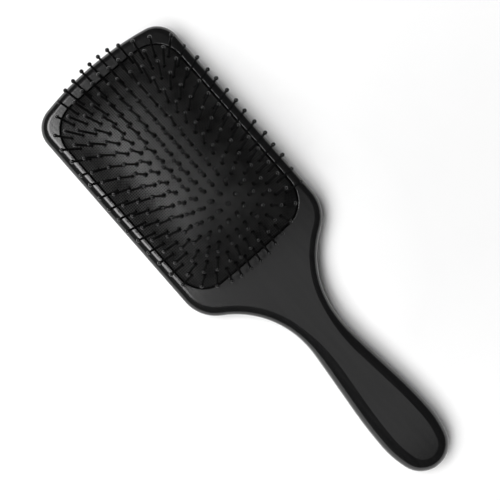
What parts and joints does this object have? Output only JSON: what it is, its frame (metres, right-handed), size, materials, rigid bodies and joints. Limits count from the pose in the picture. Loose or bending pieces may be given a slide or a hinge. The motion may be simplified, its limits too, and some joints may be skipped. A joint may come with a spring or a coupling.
{
  "type": "paddle brush",
  "caption": "Paddle hair brush: flat-backed rectangular head with a domed rubber cushion, rows of ball-tipped pins and a waisted, rounded handle.",
  "frame": {"origin": "on the flat back, under the middle of the brush in length and width", "axes": "+X from the head to the end of the handle, +Y across the head, +Z out of the face, the way the pins point"},
  "size_m": [0.25, 0.08, 0.0398],
  "materials": {
    "black_lacquer": "satin black lacquer over beech, grain filled",
    "black_rubber": "matte black rubber with a fine woven emboss",
    "black_nylon": "moulded black nylon, slightly glossy ball tips"
  },
  "bodies": {
    "paddle": {"paddle_body": "black_lacquer", "rubber_cushion": "black_rubber"},
    "pin_centre": {"pin_centre_row": "black_nylon"},
    "pin_ring_6": {"pin_ring_6_handle": "black_nylon", "pin_ring_6_left": "black_nylon", "pin_ring_6_right": "black_nylon", "pin_ring_6_tip": "black_nylon"},
    "pin_ring_5": {"pin_ring_5_handle": "black_nylon", "pin_ring_5_left": "black_nylon", "pin_ring_5_right": "black_nylon", "pin_ring_5_tip": "black_nylon"},
    "pin_ring_4": {"pin_ring_4_handle": "black_nylon", "pin_ring_4_left": "black_nylon", "pin_ring_4_right": "black_nylon", "pin_ring_4_tip": "black_nylon"},
    "pin_ring_3": {"pin_ring_3_handle": "black_nylon", "pin_ring_3_left": "black_nylon", "pin_ring_3_right": "black_nylon", "pin_ring_3_tip": "black_nylon"},
    "pin_ring_2": {"pin_ring_2_handle": "black_nylon", "pin_ring_2_left": "black_nylon", "pin_ring_2_right": "black_nylon", "pin_ring_2_tip": "black_nylon"},
    "pin_ring_1": {"pin_ring_1_handle": "black_nylon", "pin_ring_1_left": "black_nylon", "pin_ring_1_right": "black_nylon", "pin_ring_1_tip": "black_nylon"}
  },
  "joints": [
    {"name": "press_centre", "type": "slide", "parent": "paddle", "child": "pin_centre", "axis": [0, 0, -1], "range_m": [0, 0.005], "stiffness_N_per_m": 400, "deforming": ["rubber_cushion"]},
    {"name": "press_ring_6", "type": "slide", "parent": "paddle", "child": "pin_ring_6", "axis": [0, 0, -1], "range_m": [0, 0.00492], "stiffness_N_per_m": 400},
    {"name": "press_ring_5", "type": "slide", "parent": "paddle", "child": "pin_ring_5", "axis": [0, 0, -1], "range_m": [0, 0.00469], "stiffness_N_per_m": 400},
    {"name": "press_ring_4", "type": "slide", "parent": "paddle", "child": "pin_ring_4", "axis": [0, 0, -1], "range_m": [0, 0.00426], "stiffness_N_per_m": 400},
    {"name": "press_ring_3", "type": "slide", "parent": "paddle", "child": "pin_ring_3", "axis": [0, 0, -1], "range_m": [0, 0.00357], "stiffness_N_per_m": 400},
    {"name": "press_ring_2", "type": "slide", "parent": "paddle", "child": "pin_ring_2", "axis": [0, 0, -1], "range_m": [0, 0.0026], "stiffness_N_per_m": 400},
    {"name": "press_ring_1", "type": "slide", "parent": "paddle", "child": "pin_ring_1", "axis": [0, 0, -1], "range_m": [0, 0.00133], "stiffness_N_per_m": 400}
  ],
  "couplings": [
    {"joint": "press_ring_6", "follows": "press_centre", "ratio": 0.983},
    {"joint": "press_ring_5", "follows": "press_centre", "ratio": 0.938},
    {"joint": "press_ring_4", "follows": "press_centre", "ratio": 0.852},
    {"joint": "press_ring_3", "follows": "press_centre", "ratio": 0.713},
    {"joint": "press_ring_2", "follows": "press_centre", "ratio": 0.518},
    {"joint": "press_ring_1", "follows": "press_centre", "ratio": 0.266}
  ]
}
